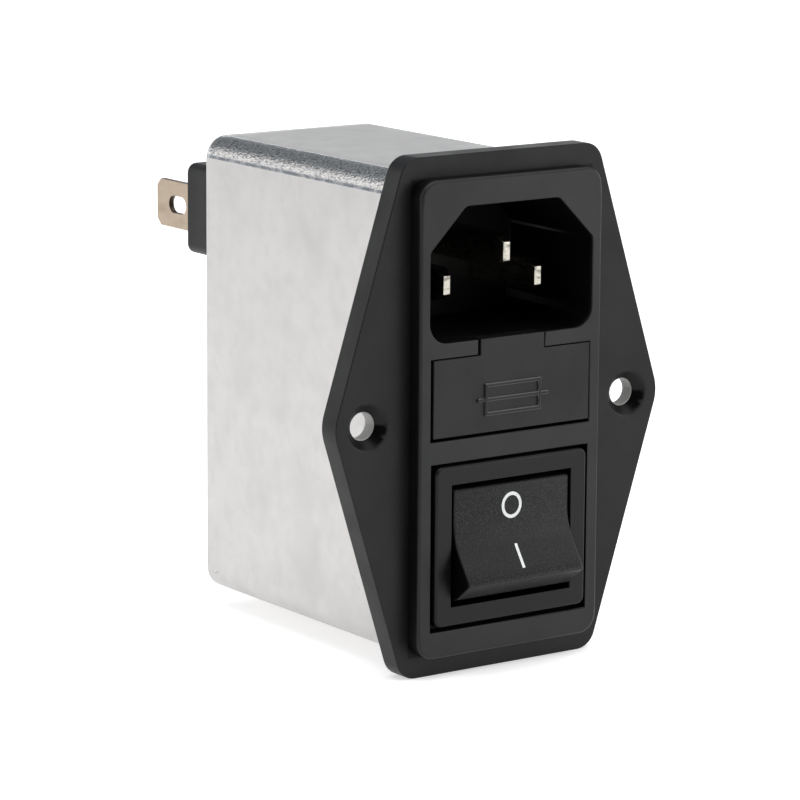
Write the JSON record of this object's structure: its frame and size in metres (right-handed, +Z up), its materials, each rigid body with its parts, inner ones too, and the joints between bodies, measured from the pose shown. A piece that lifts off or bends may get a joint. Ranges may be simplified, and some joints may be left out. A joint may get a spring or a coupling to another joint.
{
  "type": "emi line filter",
  "caption": "Panel inlet with a mains filter in a metal can behind it: three-pin socket, fuse drawer and rocker switch in one screw-fixed flange.",
  "frame": {"origin": "midway between the two screw holes, on the flange's rear face", "axes": "+Y from the flange into the panel along the can, +Z up towards the socket, +X to the right seen from the front"},
  "size_m": [0.0494, 0.0698, 0.065],
  "materials": {
    "housing_moulding": "matte",
    "drawer_moulding": "matte",
    "switch_moulding": "matte",
    "rocker_moulding": "fine matte grain",
    "insulator_moulding": "matte",
    "pin_plating": "nickel plated",
    "blade_plating": "tin plated",
    "spring_strip": "tin plated",
    "fuse_caps": "nickel plated",
    "fuse_glass": "clear",
    "can_sheet": "tin plated, dull",
    "board_laminate": "satin",
    "choke_base_moulding": "matte",
    "ferrite": "matte",
    "enamelled_wire": "glossy enamel",
    "capacitor_box": "satin",
    "disc_capacitor": "satin",
    "resistor_coating": "satin",
    "brown_insulation": "satin",
    "blue_insulation": "satin",
    "green_insulation": "satin"
  },
  "bodies": {
    "inlet": {"front_housing": "housing_moulding", "left_pin": "pin_plating", "right_pin": "pin_plating", "earth_pin": "pin_plating", "fuse_clip_left": "spring_strip", "fuse_clip_right": "spring_strip", "switch_body": "switch_moulding", "switch_terminal_in_left": "blade_plating", "switch_terminal_in_right": "blade_plating", "switch_terminal_out_left": "blade_plating", "switch_terminal_out_right": "blade_plating", "can_sleeve": "can_sheet", "rear_cover": "can_sheet", "insulator_left": "insulator_moulding", "insulator_right": "insulator_moulding", "left_tab": "blade_plating", "right_tab": "blade_plating", "earth_tab": "blade_plating", "filter_board": "board_laminate", "choke_base": "choke_base_moulding", "choke_core": "ferrite", "choke_winding_left": "enamelled_wire", "choke_winding_right": "enamelled_wire", "line_capacitor": "capacitor_box", "load_capacitor": "capacitor_box", "earth_capacitor_left": "disc_capacitor", "earth_capacitor_right": "disc_capacitor", "bleed_resistor": "resistor_coating", "lead_pin_to_fuse": "brown_insulation", "lead_fuse_to_switch": "brown_insulation", "lead_pin_to_switch": "blue_insulation", "lead_switch_to_board_left": "blue_insulation", "lead_switch_to_board_right": "brown_insulation", "lead_earth": "green_insulation"},
    "drawer": {"fuse_drawer": "drawer_moulding", "active_fuse_glass": "fuse_glass", "active_fuse_caps": "fuse_caps", "spare_fuse_glass": "fuse_glass", "spare_fuse_caps": "fuse_caps"},
    "rocker": {"rocker": "rocker_moulding"}
  },
  "joints": [
    {"name": "drawer_slide", "type": "slide", "parent": "inlet", "child": "drawer", "axis": [0, -1, 0], "range_m": [0, 0.02]},
    {"name": "rocker_tilt", "type": "hinge", "parent": "inlet", "child": "rocker", "pos_m": [0, -0.00325, -0.01566], "axis": [1, 0, 0], "range_deg": [0, 34]}
  ]
}
